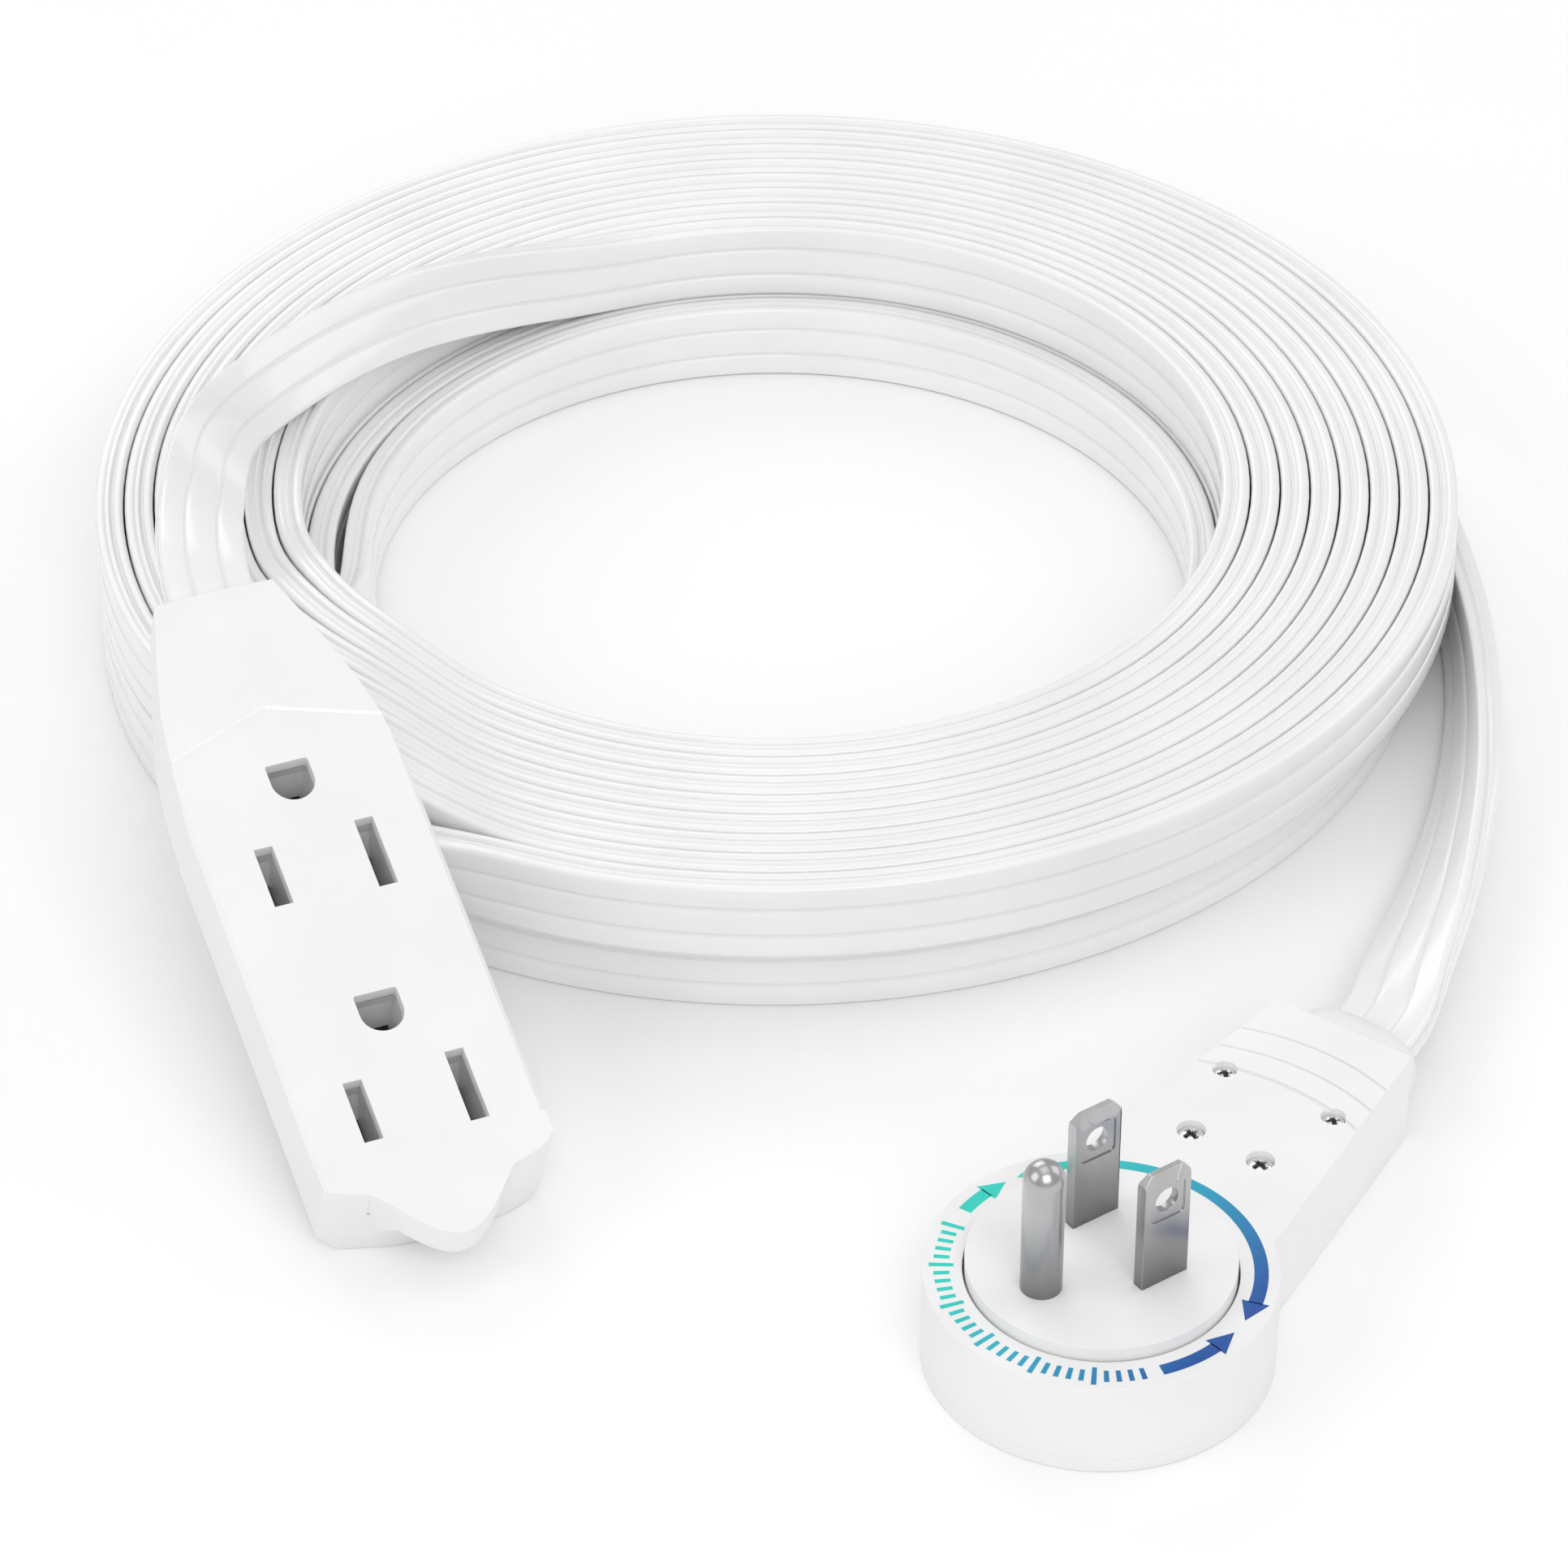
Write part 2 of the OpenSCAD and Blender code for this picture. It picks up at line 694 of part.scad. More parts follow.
// from the outermost lower turn to the plug, turning from upright to flat
module cord_tail_plug() {
    a = plug_angle;
    function at(d) = [plug_x + d * cos(a), plug_y + d * sin(a)];
    color([0.94, 0.94, 0.94])
    sweep([[170.3, 70, 5.27, -90], [170, 59, 5.27, -90], [168.3, 45, 5.27, -90], [164.8, 31, 5.4, -86],
        [159.7, 17, 5.6, -78], [153, 3.5, 5.6, -68], [145.4, -9.5, 5.5, -56], [137.2, -21, 5.3, -43],
        [129.2, -31, 5.2, -29], [121.8, -39.4, 5.5, -15], [at(62)[0], at(62)[1], 6, -4],
        [at(57)[0], at(57)[1], cord_zp, 0], [at(42.8)[0], at(42.8)[1], cord_zp, 0]],
        oval(cord_w, cord_t, 12));
}

outlet_front_cover();
outlet_back_cover();
outlet_contact_carrier();
outlet_live_bus();
outlet_neutral_bus();
outlet_ground_bus();
outlet_cord_clamp();
outlet_live_lead();
outlet_neutral_lead();
outlet_ground_lead();
outlet_crimps();
plug_front_cover();
plug_back_cover();
plug_disc();
plug_disc_base();
plug_live_blade();
plug_neutral_blade();
plug_ground_pin();
plug_live_ring();
plug_neutral_ring();
plug_ground_stud();
plug_live_brush();
plug_neutral_brush();
plug_ground_brush();
plug_head_screws();
plug_neck_screws();
plug_cord_clamp();
plug_strain_relief();
plug_live_lead();
plug_neutral_lead();
plug_ground_lead();
cord_coil_lower();
cord_coil_upper();
cord_tail_outlet();
cord_tail_plug();
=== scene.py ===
import json
import math
import bmesh
import bpy
import numpy as np
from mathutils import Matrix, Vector


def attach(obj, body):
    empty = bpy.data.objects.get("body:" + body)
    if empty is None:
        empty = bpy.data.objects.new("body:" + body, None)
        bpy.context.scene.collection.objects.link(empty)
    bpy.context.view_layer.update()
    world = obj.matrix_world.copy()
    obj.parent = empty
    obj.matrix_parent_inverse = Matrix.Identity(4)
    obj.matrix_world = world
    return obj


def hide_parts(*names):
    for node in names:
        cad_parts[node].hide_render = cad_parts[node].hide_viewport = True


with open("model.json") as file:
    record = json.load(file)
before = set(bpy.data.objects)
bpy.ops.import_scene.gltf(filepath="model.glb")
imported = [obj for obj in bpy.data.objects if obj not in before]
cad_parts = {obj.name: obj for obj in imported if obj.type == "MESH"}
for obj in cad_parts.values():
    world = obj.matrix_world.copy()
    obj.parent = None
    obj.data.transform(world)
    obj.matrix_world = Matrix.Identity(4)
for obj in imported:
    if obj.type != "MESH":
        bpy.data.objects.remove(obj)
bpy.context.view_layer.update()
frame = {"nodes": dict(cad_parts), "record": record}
MM = 0.001
ROOT, DISC = "cord_and_housings", "turning_disc"
rad = math.radians

# ---------------------------------------------------------------- camera
scene = bpy.context.scene
cam_data = bpy.data.cameras.new("camera")
cam = bpy.data.objects.new("camera", cam_data)
scene.collection.objects.link(cam)
scene.camera = cam
cam_data.sensor_width = 36.0
cam_data.lens = 149.07
cam_data.clip_start = 0.01
cam_data.clip_end = 20
cam.location = Vector((-178.37, -573.84, 497.44)) * MM
aim = Vector((70.03, 31.10, 0)) * MM
cam.rotation_euler = (aim - cam.location).to_track_quat("-Z", "Y").to_euler()


# ---------------------------------------------------------------- materials
def nodes_of(name):
    """A new material, its node tree and its shader."""
    m = bpy.data.materials.new(name)
    m.use_nodes = True
    nt = m.node_tree
    b = nt.nodes["Principled BSDF"]
    return m, nt, b


def add(nt, kind, **inputs):
    """A node of this kind; each keyword sets an input by name, or else a property."""
    n = nt.nodes.new(kind)
    for k, v in inputs.items():
        if k in n.inputs.keys():
            n.inputs[k].default_value = v
        else:
            setattr(n, k, v)
    return n


def coords(nt, scale=(1, 1, 1)):
    """Object coordinates, in metres, stretched by scale."""
    tc = nt.nodes.new("ShaderNodeTexCoord")
    mp = nt.nodes.new("ShaderNodeMapping")
    mp.inputs["Scale"].default_value = scale
    nt.links.new(tc.outputs["Object"], mp.inputs["Vector"])
    return mp.outputs["Vector"]


def tint(nt, b, vec, low, high, scale):
    """Base colour that drifts between low and high over a noise."""
    n = add(nt, "ShaderNodeTexNoise", Scale=scale, Detail=3.0)
    nt.links.new(vec, n.inputs["Vector"])
    r = nt.nodes.new("ShaderNodeValToRGB")
    r.color_ramp.elements[0].position = 0.35
    r.color_ramp.elements[0].color = (*low, 1)
    r.color_ramp.elements[1].position = 0.65
    r.color_ramp.elements[1].color = (*high, 1)
    nt.links.new(n.outputs["Fac"], r.inputs["Fac"])
    nt.links.new(r.outputs["Color"], b.inputs["Base Color"])
    return n


def rough(nt, b, vec, low, high, scale):
    """Roughness that drifts between low and high over a noise."""
    n = add(nt, "ShaderNodeTexNoise", Scale=scale, Detail=4.0)
    nt.links.new(vec, n.inputs["Vector"])
    m = add(nt, "ShaderNodeMapRange")
    m.inputs["To Min"].default_value = low
    m.inputs["To Max"].default_value = high
    nt.links.new(n.outputs["Fac"], m.inputs["Value"])
    nt.links.new(m.outputs["Result"], b.inputs["Roughness"])


def bump(nt, b, vec, parts):
    """Surface grain; parts holds (noise scale, height in metres, detail) for each layer."""
    last = None
    for scale, height, detail in parts:
        n = add(nt, "ShaderNodeTexNoise", Scale=scale, Detail=detail)
        nt.links.new(vec, n.inputs["Vector"])
        bp = nt.nodes.new("ShaderNodeBump")
        bp.inputs["Strength"].default_value = 1.0
        bp.inputs["Distance"].default_value = height
        nt.links.new(n.outputs["Fac"], bp.inputs["Height"])
        if last is not None:
            nt.links.new(last.outputs["Normal"], bp.inputs["Normal"])
        last = bp
    nt.links.new(last.outputs["Normal"], b.inputs["Normal"])


def plastic(name, low, high, r0, r1, grain, height, coat=0.0, sss=0.0):
    """Moulded plastic: colour low to high, roughness r0 to r1, a fine grain over a slow waviness."""
    m, nt, b = nodes_of(name)
    v = coords(nt)
    tint(nt, b, v, low, high, 60)
    rough(nt, b, v, r0, r1, 220)
    bump(nt, b, v, [(grain, height, 2.0), (90, height * 3, 2.0)])
    b.inputs["IOR"].default_value = 1.49
    b.inputs["Coat Weight"].default_value = coat
    b.inputs["Coat Roughness"].default_value = 0.12
    if sss:
        b.inputs["Subsurface Weight"].default_value = sss
        b.inputs["Subsurface Radius"].default_value = (1, 0.95, 0.9)
        b.inputs["Subsurface Scale"].default_value = 0.0012
    return m


def metal(name, low, high, r0, r1, stretch=(1, 1, 1), metallic=1.0, foot=None):
    """Brushed metal; foot paints in shade that darkens it downwards: (lowest z, z of full tone, tone at the lowest),
    z in metres.
    """
    m, nt, b = nodes_of(name)
    b.inputs["Metallic"].default_value = metallic
    v = coords(nt, stretch)
    tint(nt, b, v, low, high, 150)
    rough(nt, b, v, r0, r1, 300)
    bump(nt, b, v, [(900, 3e-6, 3.0)])
    # painted shade: the base colour is scaled darker towards the bottom
    if foot:
        plain = b.inputs["Base Color"].links[0].from_socket
        sep = nt.nodes.new("ShaderNodeSeparateXYZ")
        nt.links.new(coords(nt), sep.inputs["Vector"])
        mr = add(nt, "ShaderNodeMapRange")
        for key, val in zip(("From Min", "From Max", "To Min", "To Max"), (*foot, 1.0)):
            mr.inputs[key].default_value = val
        nt.links.new(sep.outputs["Z"], mr.inputs["Value"])
        dim = nt.nodes.new("ShaderNodeVectorMath")
        dim.operation = "SCALE"
        nt.links.new(plain, dim.inputs[0])
        nt.links.new(mr.outputs["Result"], dim.inputs["Scale"])
        nt.links.new(dim.outputs["Vector"], b.inputs["Base Color"])
    return m


SHELL = plastic("shell_white", (0.83, 0.83, 0.83), (0.86, 0.86, 0.86), 0.36, 0.46, 2600, 6e-6)
DISCM = plastic("disc_white", (0.84, 0.84, 0.84), (0.87, 0.87, 0.87), 0.40, 0.50, 3200, 7e-6)
CORDM = plastic("cord_white", (0.83, 0.83, 0.83), (0.86, 0.86, 0.86), 0.18, 0.28, 1500, 2e-6, coat=0.6, sss=0.1)
# a brighter white than the shell for the ridge line: a painted highlight
RIDGE_HIGHLIGHT = plastic("ridge_highlight_white", (0.90, 0.90, 0.90), (0.93, 0.93, 0.93), 0.2, 0.3, 2600, 3e-6, coat=0.5)
SLEEVE = plastic("sleeve_white", (0.80, 0.80, 0.80), (0.83, 0.83, 0.83), 0.30, 0.40, 2000, 4e-6)
INSUL = plastic("insulator", (0.68, 0.65, 0.58), (0.73, 0.70, 0.63), 0.45, 0.6, 2000, 8e-6)
BLACK = plastic("lead_black", (0.012, 0.012, 0.012), (0.025, 0.025, 0.025), 0.3, 0.45, 1500, 4e-6)
WHITE = plastic("lead_white", (0.74, 0.74, 0.71), (0.8, 0.8, 0.78), 0.3, 0.45, 1500, 4e-6)
GREEN = plastic("lead_green", (0.02, 0.2, 0.07), (0.03, 0.26, 0.1), 0.3, 0.45, 1500, 4e-6)
# The prongs' dark foot and bright rims, and the ridge line's gloss, are painted in: they stand for
# reflections and highlights that these soft lights don't make.
NICKEL = metal("prong_metal", (0.42, 0.42, 0.425), (0.52, 0.52, 0.525), 0.22, 0.30, (1, 1, 0.12),
               foot=(0.014, 0.026, 0.45))
RIM_HIGHLIGHT = metal("prong_rim_highlight", (0.86, 0.86, 0.86), (0.95, 0.95, 0.95), 0.12, 0.2)
CHROME = metal("screw_steel", (0.78, 0.78, 0.79), (0.88, 0.88, 0.89), 0.12, 0.2)
# near-black metal for the floor of the screws' cross recesses: painted shade
RECESS_SHADE = metal("screw_recess_shade", (0.05, 0.05, 0.05), (0.09, 0.09, 0.09), 0.3, 0.45)
BRASS = metal("brass", (0.62, 0.45, 0.2), (0.7, 0.52, 0.25), 0.25, 0.4)
SPRING = metal("spring_metal", (0.6, 0.36, 0.2), (0.68, 0.43, 0.26), 0.25, 0.4)
CONTACT = metal("contact_metal", (0.62, 0.62, 0.62), (0.72, 0.72, 0.71), 0.35, 0.5, metallic=0.45)

BY_SLOT = {
    "shell_white": SHELL, "disc_white": DISCM, "cord_white": CORDM, "prong_metal": NICKEL,
    "screw_steel": CHROME, "brass": BRASS, "spring_metal": SPRING, "insulator": INSUL,
    "lead_black": BLACK, "lead_white": WHITE, "lead_green": GREEN, "contact_metal": CONTACT,
}
SLOT_OF = {s["node"]: s["material_slot"] for s in frame["record"]["subparts"]}
for name, obj in frame["nodes"].items():
    obj.data.materials.clear()
    obj.data.materials.append(BY_SLOT[SLOT_OF[name]])


# ---------------------------------------------------------------- mesh helpers
def plain(name, verts, faces, mat, smooth=True):
    """A mesh object that rides on nothing yet."""
    me = bpy.data.meshes.new(name)
    me.from_pydata([tuple(float(c) for c in v) for v in verts], [], faces)
    me.update()
    me.polygons.foreach_set("use_smooth", [smooth] * len(me.polygons))
    me.materials.append(mat)
    o = bpy.data.objects.new(name, me)
    scene.collection.objects.link(o)
    return o


def make(name, verts, faces, mat, body=ROOT, smooth=True):
    """A new piece on a body."""
    o = plain(name, verts, faces, mat, smooth)
    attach(o, body)
    return o


def outward(me):
    """Turn every face of a closed mesh outward."""
    bm = bmesh.new()
    bm.from_mesh(me)
    bmesh.ops.recalc_face_normals(bm, faces=bm.faces)
    bm.to_mesh(me)
    bm.free()


def bake(o):
    """Apply an object's modifiers to its mesh."""
    dg = bpy.context.evaluated_depsgraph_get()
    me = bpy.data.meshes.new_from_object(o.evaluated_get(dg))
    old = o.data
    o.modifiers.clear()
    o.data = me
    bpy.data.meshes.remove(old)
    return o


SHARP, LOW_RIDGE = 30, 4  # degrees across an edge that gets rounded, and across one between large faces


def soften(o, width, ridge=0.0, rim=-1):
    """Round the real edges by width mm: sharp ones, and low ones whose two faces pass ridge mm2.

    rim is the material slot of the rounded strip, or -1 for the face's own."""
    bm = bmesh.new()
    bm.from_mesh(o.data)
    layer = bm.edges.layers.float.new("bevel_weight_edge")
    for e in bm.edges:
        if len(e.link_faces) != 2:
            continue
        ang = math.degrees(e.calc_face_angle(0))
        small = min(f.calc_area() for f in e.link_faces)
        if ang > SHARP or (ridge and ang > LOW_RIDGE and small > ridge * MM * MM):
            e[layer] = 1.0
    bm.to_mesh(o.data)
    bm.free()
    bv = o.modifiers.new("bevel", "BEVEL")
    bv.width = width * MM
    bv.segments = 3
    bv.limit_method = "WEIGHT"
    bv.use_clamp_overlap = True
    bv.material = rim
    bake(o)
    o.data.polygons.foreach_set("use_smooth", [True] * len(o.data.polygons))
    o.data.set_sharp_from_angle(angle=rad(48))
    wn = o.modifiers.new("normals", "WEIGHTED_NORMAL")
    wn.keep_sharp = True
    wn.weight = 100
    bake(o)
    return o


def from_cad(node, name, width, body=ROOT, ridge=0.0, reshape=None):
    """A finished copy of a CAD node: joined faces, rounded edges and its slot's material."""
    me = frame["nodes"][node].data.copy()
    bm = bmesh.new()
    bm.from_mesh(me)
    bmesh.ops.remove_doubles(bm, verts=bm.verts, dist=2e-6)
    if reshape:
        reshape(bm)
    bmesh.ops.dissolve_limit(bm, angle_limit=rad(0.6), verts=bm.verts, edges=bm.edges)
    bm.to_mesh(me)
    bm.free()
    me.materials.clear()
    me.materials.append(BY_SLOT[SLOT_OF[node]])
    o = bpy.data.objects.new(name, me)
    scene.collection.objects.link(o)
    if width:
        soften(o, width, ridge)
    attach(o, body)
    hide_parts(node)
    return o


# ---------------------------------------------------------------- the cord
# Lengths here are in mm and angles in degrees, until a point is scaled by MM.
CX, CY = 84.1, 68.0  # centre of the coil
CW, CT = 10.5, 3.7  # width and thickness of the cord
STEP = CT + 0.12  # from one turn to the next
TIER = CW + 0.05  # from one tier to the next
R_OUT = 88.2 - CT / 2 - 0.06  # middle of the outermost strand
Z_LOW, Z_UP = CW / 2 + 0.03, TIER + CW / 2 + 0.05  # middle heights of the two tiers
J1, J0 = 214.0, 182.0  # each turn jogs to the next radius between these angles
PITCH = rad(22.5)  # slope of the outlet block
BY = 30.324  # how far the block's low end is behind the origin
BLOCK_LEN, BORE_Z, FACE_Z = 82.5, 7.7, 14  # the block's length, cord height and face height
NECK = rad(32.2)  # direction of the plug's neck
PX, PY = 62.7, -80.6  # axis of the turning disc


def in_block(x, y, z):
    """A point given along, across and up from the sloping block."""
    return (x, -BY + y * math.cos(PITCH) - z * math.sin(PITCH), y * math.sin(PITCH) + z * math.cos(PITCH))


def in_plug(x, y, z):
    """A point given from the disc's axis, with x along the neck."""
    c, s = math.cos(NECK), math.sin(NECK)
    return (PX + x * c - y * s, PY + x * s + y * c, z)


def at(r, deg, z, twist):
    """A point of the route round the coil, with its twist."""
    a = rad(deg)
    return (CX + r * math.cos(a), CY + r * math.sin(a), z, twist)


def ease(t):
    """A smooth step from 0 to 1."""
    t = min(1.0, max(0.0, t))
    return t * t * (3 - 2 * t)


def lift(r, deg):
    """The upper turns ride over the strand that crosses between the tiers, 3.4 mm high where they meet it."""
    d = abs((deg - (207 - (86 - r) * 0.74) + 180) % 360 - 180)
    return 3.4 * (1 - ease((d - 6) / 17))


TURN_STEP, JOG_POINTS = 5.0, 7  # degrees between the route's points on a turn, and points along a jog


def tier(radii, start, end, z, lifts):
    """Turns from angle start, clockwise to angle end on the last radius, jogging outward between J1 and J0."""
    pts = []
    deg, k = start, 0
    jog = J1 - 360  # the next jog begins here
    while jog > start:
        jog -= 360
    last = len(radii) - 1
    while True:
        r = radii[k]
        if k < last:
            stop = jog
        else:
            stop = end
            while stop > deg:
                stop -= 360
        while deg > stop:
            pts.append((r, deg, z))
            deg -= TURN_STEP
        if k == last:
            break
        for i in range(JOG_POINTS):
            t = i / JOG_POINTS
            d = jog - (J1 - J0) * t
            pts.append((r + (radii[k + 1] - r) * ease(t), d, z))
        deg = jog - (J1 - J0)
        jog -= 360
        k += 1
    out = []
    for r, d, zz in pts:
        wob = 0.22 * math.sin(rad(2 * d + 40)) + 0.15 * math.sin(rad(3 * d + 200))
        up = lift(r, d) if lifts else 0.0
        out.append(at(r + wob * 0.6, d, zz + up, -90 + 1.2 * math.sin(rad(d * 2))))
    return out


up_r = [R_OUT - STEP * (7 - k) for k in range(8)]
low_r = [R_OUT - STEP * (8 - k) for k in range(9)]

# Each point of the route is x, y, z and the cord's twist.
b1 = in_block(0, BLOCK_LEN, BORE_Z)
ribbon = [(*in_block(0, 66.5, BORE_Z), 0), (*in_block(0, 74.5, BORE_Z), 0), (*b1, -1), (0.9, 49.2, 40.6, -6),
          (2.8, 56, 41.1, -13), (5.9, 64.5, 39.9, -20), (10, 75.5, 36.3, -26), (14.5, 87, 31.4, -32),
          at(70.2, 155.6, 27.8, -37), at(67.6, 148.5, 26.2, -41), at(64.2, 139, 25.1, -47), at(62, 129.5, 23.6, -55),
          at(60.8, 120, 21.6, -63), at(60.1, 111, 19.6, -71), at(59.7, 102, 17.7, -79), at(59.55, 95, 16.4, -86)]
upper = tier(up_r, 88, 226, Z_UP, True)
cross = [at(86.29, 221, 15.7, -84), at(85.67, 216, 15, -64), at(83.97, 211, 13.8, -36),
         at(81.1, 206, 12.8, -12), at(77.2, 201.3, 12.45, 0), at(72.3, 196.9, 12.4, 0),
         at(66.9, 192.5, 12.4, 0), at(61.8, 188.3, 12.1, -10), at(57.8, 182.6, 10.9, -34),
         at(55.6, 176.5, 8.9, -60), at(54.7, 170, 6.9, -78), at(54.5, 163, 5.6, -87)]
loose = [at(r, a, Z_LOW, -90) for r, a in ((54.6, 155), (54.9, 146), (55.2, 136), (55.5, 124))]
lower = tier(low_r, 112, 4, Z_LOW, False)
tail = [(170.3, 66, 5.27, -90), (169.6, 56, 5.27, -90), (167.9, 44, 5.3, -88), (164.5, 31, 5.4, -84),
        (159.5, 17, 5.5, -77), (153, 3.5, 5.55, -68), (145.4, -9.5, 5.5, -56), (137.2, -21, 5.3, -43),
        (129.2, -31, 5.2, -29), (121.8, -39.4, 5.5, -15), (*in_plug(63, 0, 6.05), -4),
        *((*in_plug(x, 0, 6.2), 0) for x in (57, 50, 43))]
route = np.array(ribbon + upper + cross + loose + lower + tail, float)


def catmull(p, step):
    """Smooth curve through p, resampled about every step mm."""
    q = np.vstack([2 * p[0] - p[1], p, 2 * p[-1] - p[-2]])
    out = []
    for i in range(1, len(q) - 2):
        a, b, c, d = q[i - 1], q[i], q[i + 1], q[i + 2]
        n = max(2, int(math.ceil(np.linalg.norm(c[:3] - b[:3]))))
        t = (np.arange(n) / n)[:, None]
        out.append(0.5 * (2 * b + (c - a) * t + (2 * a - 5 * b + 4 * c - d) * t**2
                          + (3 * b - a - 3 * c + d) * t**3))
    out = np.vstack(out + [q[-2][None]])
    s = np.concatenate([[0], np.cumsum(np.linalg.norm(np.diff(out[:, :3], axis=0), axis=1))])
    n = int(round(s[-1] / step))
    u = np.linspace(0, s[-1], n + 1)
    res = np.column_stack([np.interp(u, s, out[:, k]) for k in range(out.shape[1])])
    return res, s[-1]


def smooth_line(p, rounds, keep=6):
    """Even out the curve, holding keep points at each end."""
    for _ in range(rounds):
        m = p.copy()
        m[1:-1] = 0.25 * p[:-2] + 0.5 * p[1:-1] + 0.25 * p[2:]
        m[:keep] = p[:keep]
        m[-keep:] = p[-keep:]
        p = m
    return p


line, _ = catmull(route, 1.6)
line = smooth_line(line, 10)
line, LENGTH = catmull(line, 3.4)


def section():
    """Outline of the flat cord: three cores side by side, fine grooves between them and along each edge."""
    w, t, c = CW / 2, 3.6 / 2, 0.5
    half = []

    def corner(cx, cy, a0):
        for i in range(5):
            a = rad(a0 + 90 * i / 4)
            half.append((cx + c * math.cos(a), cy + c * math.sin(a)))

    def wide(u):
        half.extend([(u - 0.44, -t), (u - 0.32, -t + 0.03), (u - 0.14, -t + 0.24), (u + 0.14, -t + 0.24),
                     (u + 0.32, -t + 0.03), (u + 0.44, -t)])

    corner(-(w - c), -(t - c), 180)
    wide(-2.0)
    half.extend([(-0.7, -t - 0.035), (0.7, -t - 0.035)])
    wide(2.0)
    corner(w - c, -(t - c), 270)
    half.extend([(w, -0.75), (w - 0.06, -0.62), (w - 0.32, -0.5), (w - 0.32, -0.2), (w - 0.02, -0.06),
                 (w + 0.04, 0.12), (w - 0.03, 0.34), (w - 0.08, 0.46), (w, 0.62)])
    return np.array(half + [(-x, -y) for x, y in half])


def sweep(name, pts, sec, mat):
    """Carry the outline sec along pts, twisted by each point's angle, and close both ends."""
    p, tw = pts[:, :3], np.radians(pts[:, 3])
    t = np.gradient(p, axis=0)
    t /= np.linalg.norm(t, axis=1)[:, None]
    side = np.column_stack([t[:, 1], -t[:, 0], np.zeros(len(t))])
    side /= np.linalg.norm(side, axis=1)[:, None]
    up = np.cross(side, t)
    a = side * np.cos(tw)[:, None] + up * np.sin(tw)[:, None]
    b = np.cross(a, t)
    n, m = len(p), len(sec)
    v = p[:, None] + a[:, None] * sec[None, :, 0, None] + b[:, None] * sec[None, :, 1, None]
    v = v.reshape(-1, 3) * MM
    f = []
    for i in range(n - 1):
        for k in range(m):
            k2 = (k + 1) % m
            f.append((i * m + k, i * m + k2, (i + 1) * m + k2, (i + 1) * m + k))
    f.append(tuple(range(m))[::-1])
    f.append(tuple((n - 1) * m + k for k in range(m)))
    return make(name, v, f, mat)


cord = sweep("flat_cord", line, section(), CORDM)
cord.data.set_sharp_from_angle(angle=rad(75))
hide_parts("cord_coil_lower", "cord_coil_upper", "cord_tail_outlet", "cord_tail_plug")

# ---------------------------------------------------------------- housings
def local_block(co):
    """The inverse of in_block, for a mesh point in metres."""
    y, z = co.y / MM + BY, co.z / MM
    return co.x / MM, y * math.cos(PITCH) + z * math.sin(PITCH), -y * math.sin(PITCH) + z * math.cos(PITCH)


# outline of the end wall's foot under the pull tab, as the block's x and y
FOOT = [(-14, 0), (-13.2, -0.4), (-11.6, -1.1), (-9.2, -1.8), (-6, -2.7), (-3, -3.15), (0, -3.3), (3, -3.25),
        (6, -2.95), (9.2, -2.4), (11.6, -1.6), (13.2, -0.7), (14, 0)]


TAB_Z = 9.2  # underside of the pull tab


def blend_tab(bm):
    """Where the pull tab leaves the block its side walls run down into the end wall."""
    for v in bm.verts:
        x, y, z = local_block(v.co)
        out = np.interp(x, *zip(*FOOT)) - y
        if abs(z - TAB_Z) < 0.05 and out > 0.12:
            down = ease((2.3 - out) / 2.0)
            v.co = Vector(in_block(x, y + (out + 0.45) * down, TAB_Z - 7.4 * down)) * MM


from_cad("outlet_front_cover", "outlet_front", 0.35, ridge=60, reshape=blend_tab)
# the ridge line: a thin raised strip along the chevron, in the brighter white, a painted highlight
ridge_v, ridge_f = [], []
for x, y in ((-13.15, 59.2), (-6.6, 61.45), (0, 63.7), (6.6, 61.45), (13.15, 59.2)):
    for dy, dz in ((-0.34, -0.1), (-0.28, 0.01), (0.02, 0.22), (0.26, 0.02), (0.34, -0.14)):
        ridge_v.append(Vector(in_block(x, y + dy, FACE_Z + dz)) * MM)
for i in range(4):
    for k in range(4):
        p = 5 * i + k
        ridge_f.append((p, p + 5, p + 6, p + 1))
make("ridge_line", ridge_v, ridge_f, RIDGE_HIGHLIGHT, smooth=False)
from_cad("outlet_back_cover", "outlet_back", 0.3, ridge=60)
plug_front = from_cad("plug_front_cover", "plug_front", 0.2, ridge=60)
plug_back = from_cad("plug_back_cover", "plug_back", 0.2)

# the cable sleeve: a squared dome round the cord where it enters the plug
COLLAR_X, COLLAR_LEN = 51.2, 5.6
ROWS, SEG = 22, 72
collar_v, collar_f = [], []
for i in range(ROWS + 1):
    f = i / ROWS
    size = math.sqrt(max(0.0, 1 - (0.86 * f) ** 2.6))
    for k in range(SEG):
        a = 2 * math.pi * k / SEG
        ca, sa = math.cos(a), math.sin(a)
        half_w, half_h = 5.9 + 2.5 * size, 2.6 + 3.1 * size
        u = half_w * math.copysign(abs(ca) ** 0.72, ca)
        h = half_h * math.copysign(abs(sa) ** 0.86, sa)
        collar_v.append(Vector(in_plug(COLLAR_X + COLLAR_LEN * f, u, 6.3 + h)) * MM)
for i in range(ROWS):
    for k in range(SEG):
        k2 = (k + 1) % SEG
        collar_f.append((i * SEG + k, i * SEG + k2, (i + 1) * SEG + k2, (i + 1) * SEG + k))
collar_f.append(tuple(range(SEG))[::-1])
collar_f.append(tuple(ROWS * SEG + k for k in range(SEG)))
sleeve = make("cable_sleeve", collar_v, collar_f, SLEEVE)
outward(sleeve.data)
sleeve.data.set_sharp_from_angle(angle=rad(50))
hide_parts("plug_strain_relief")
disc = from_cad("plug_disc", "prong_disc", 0.3, body=DISC)

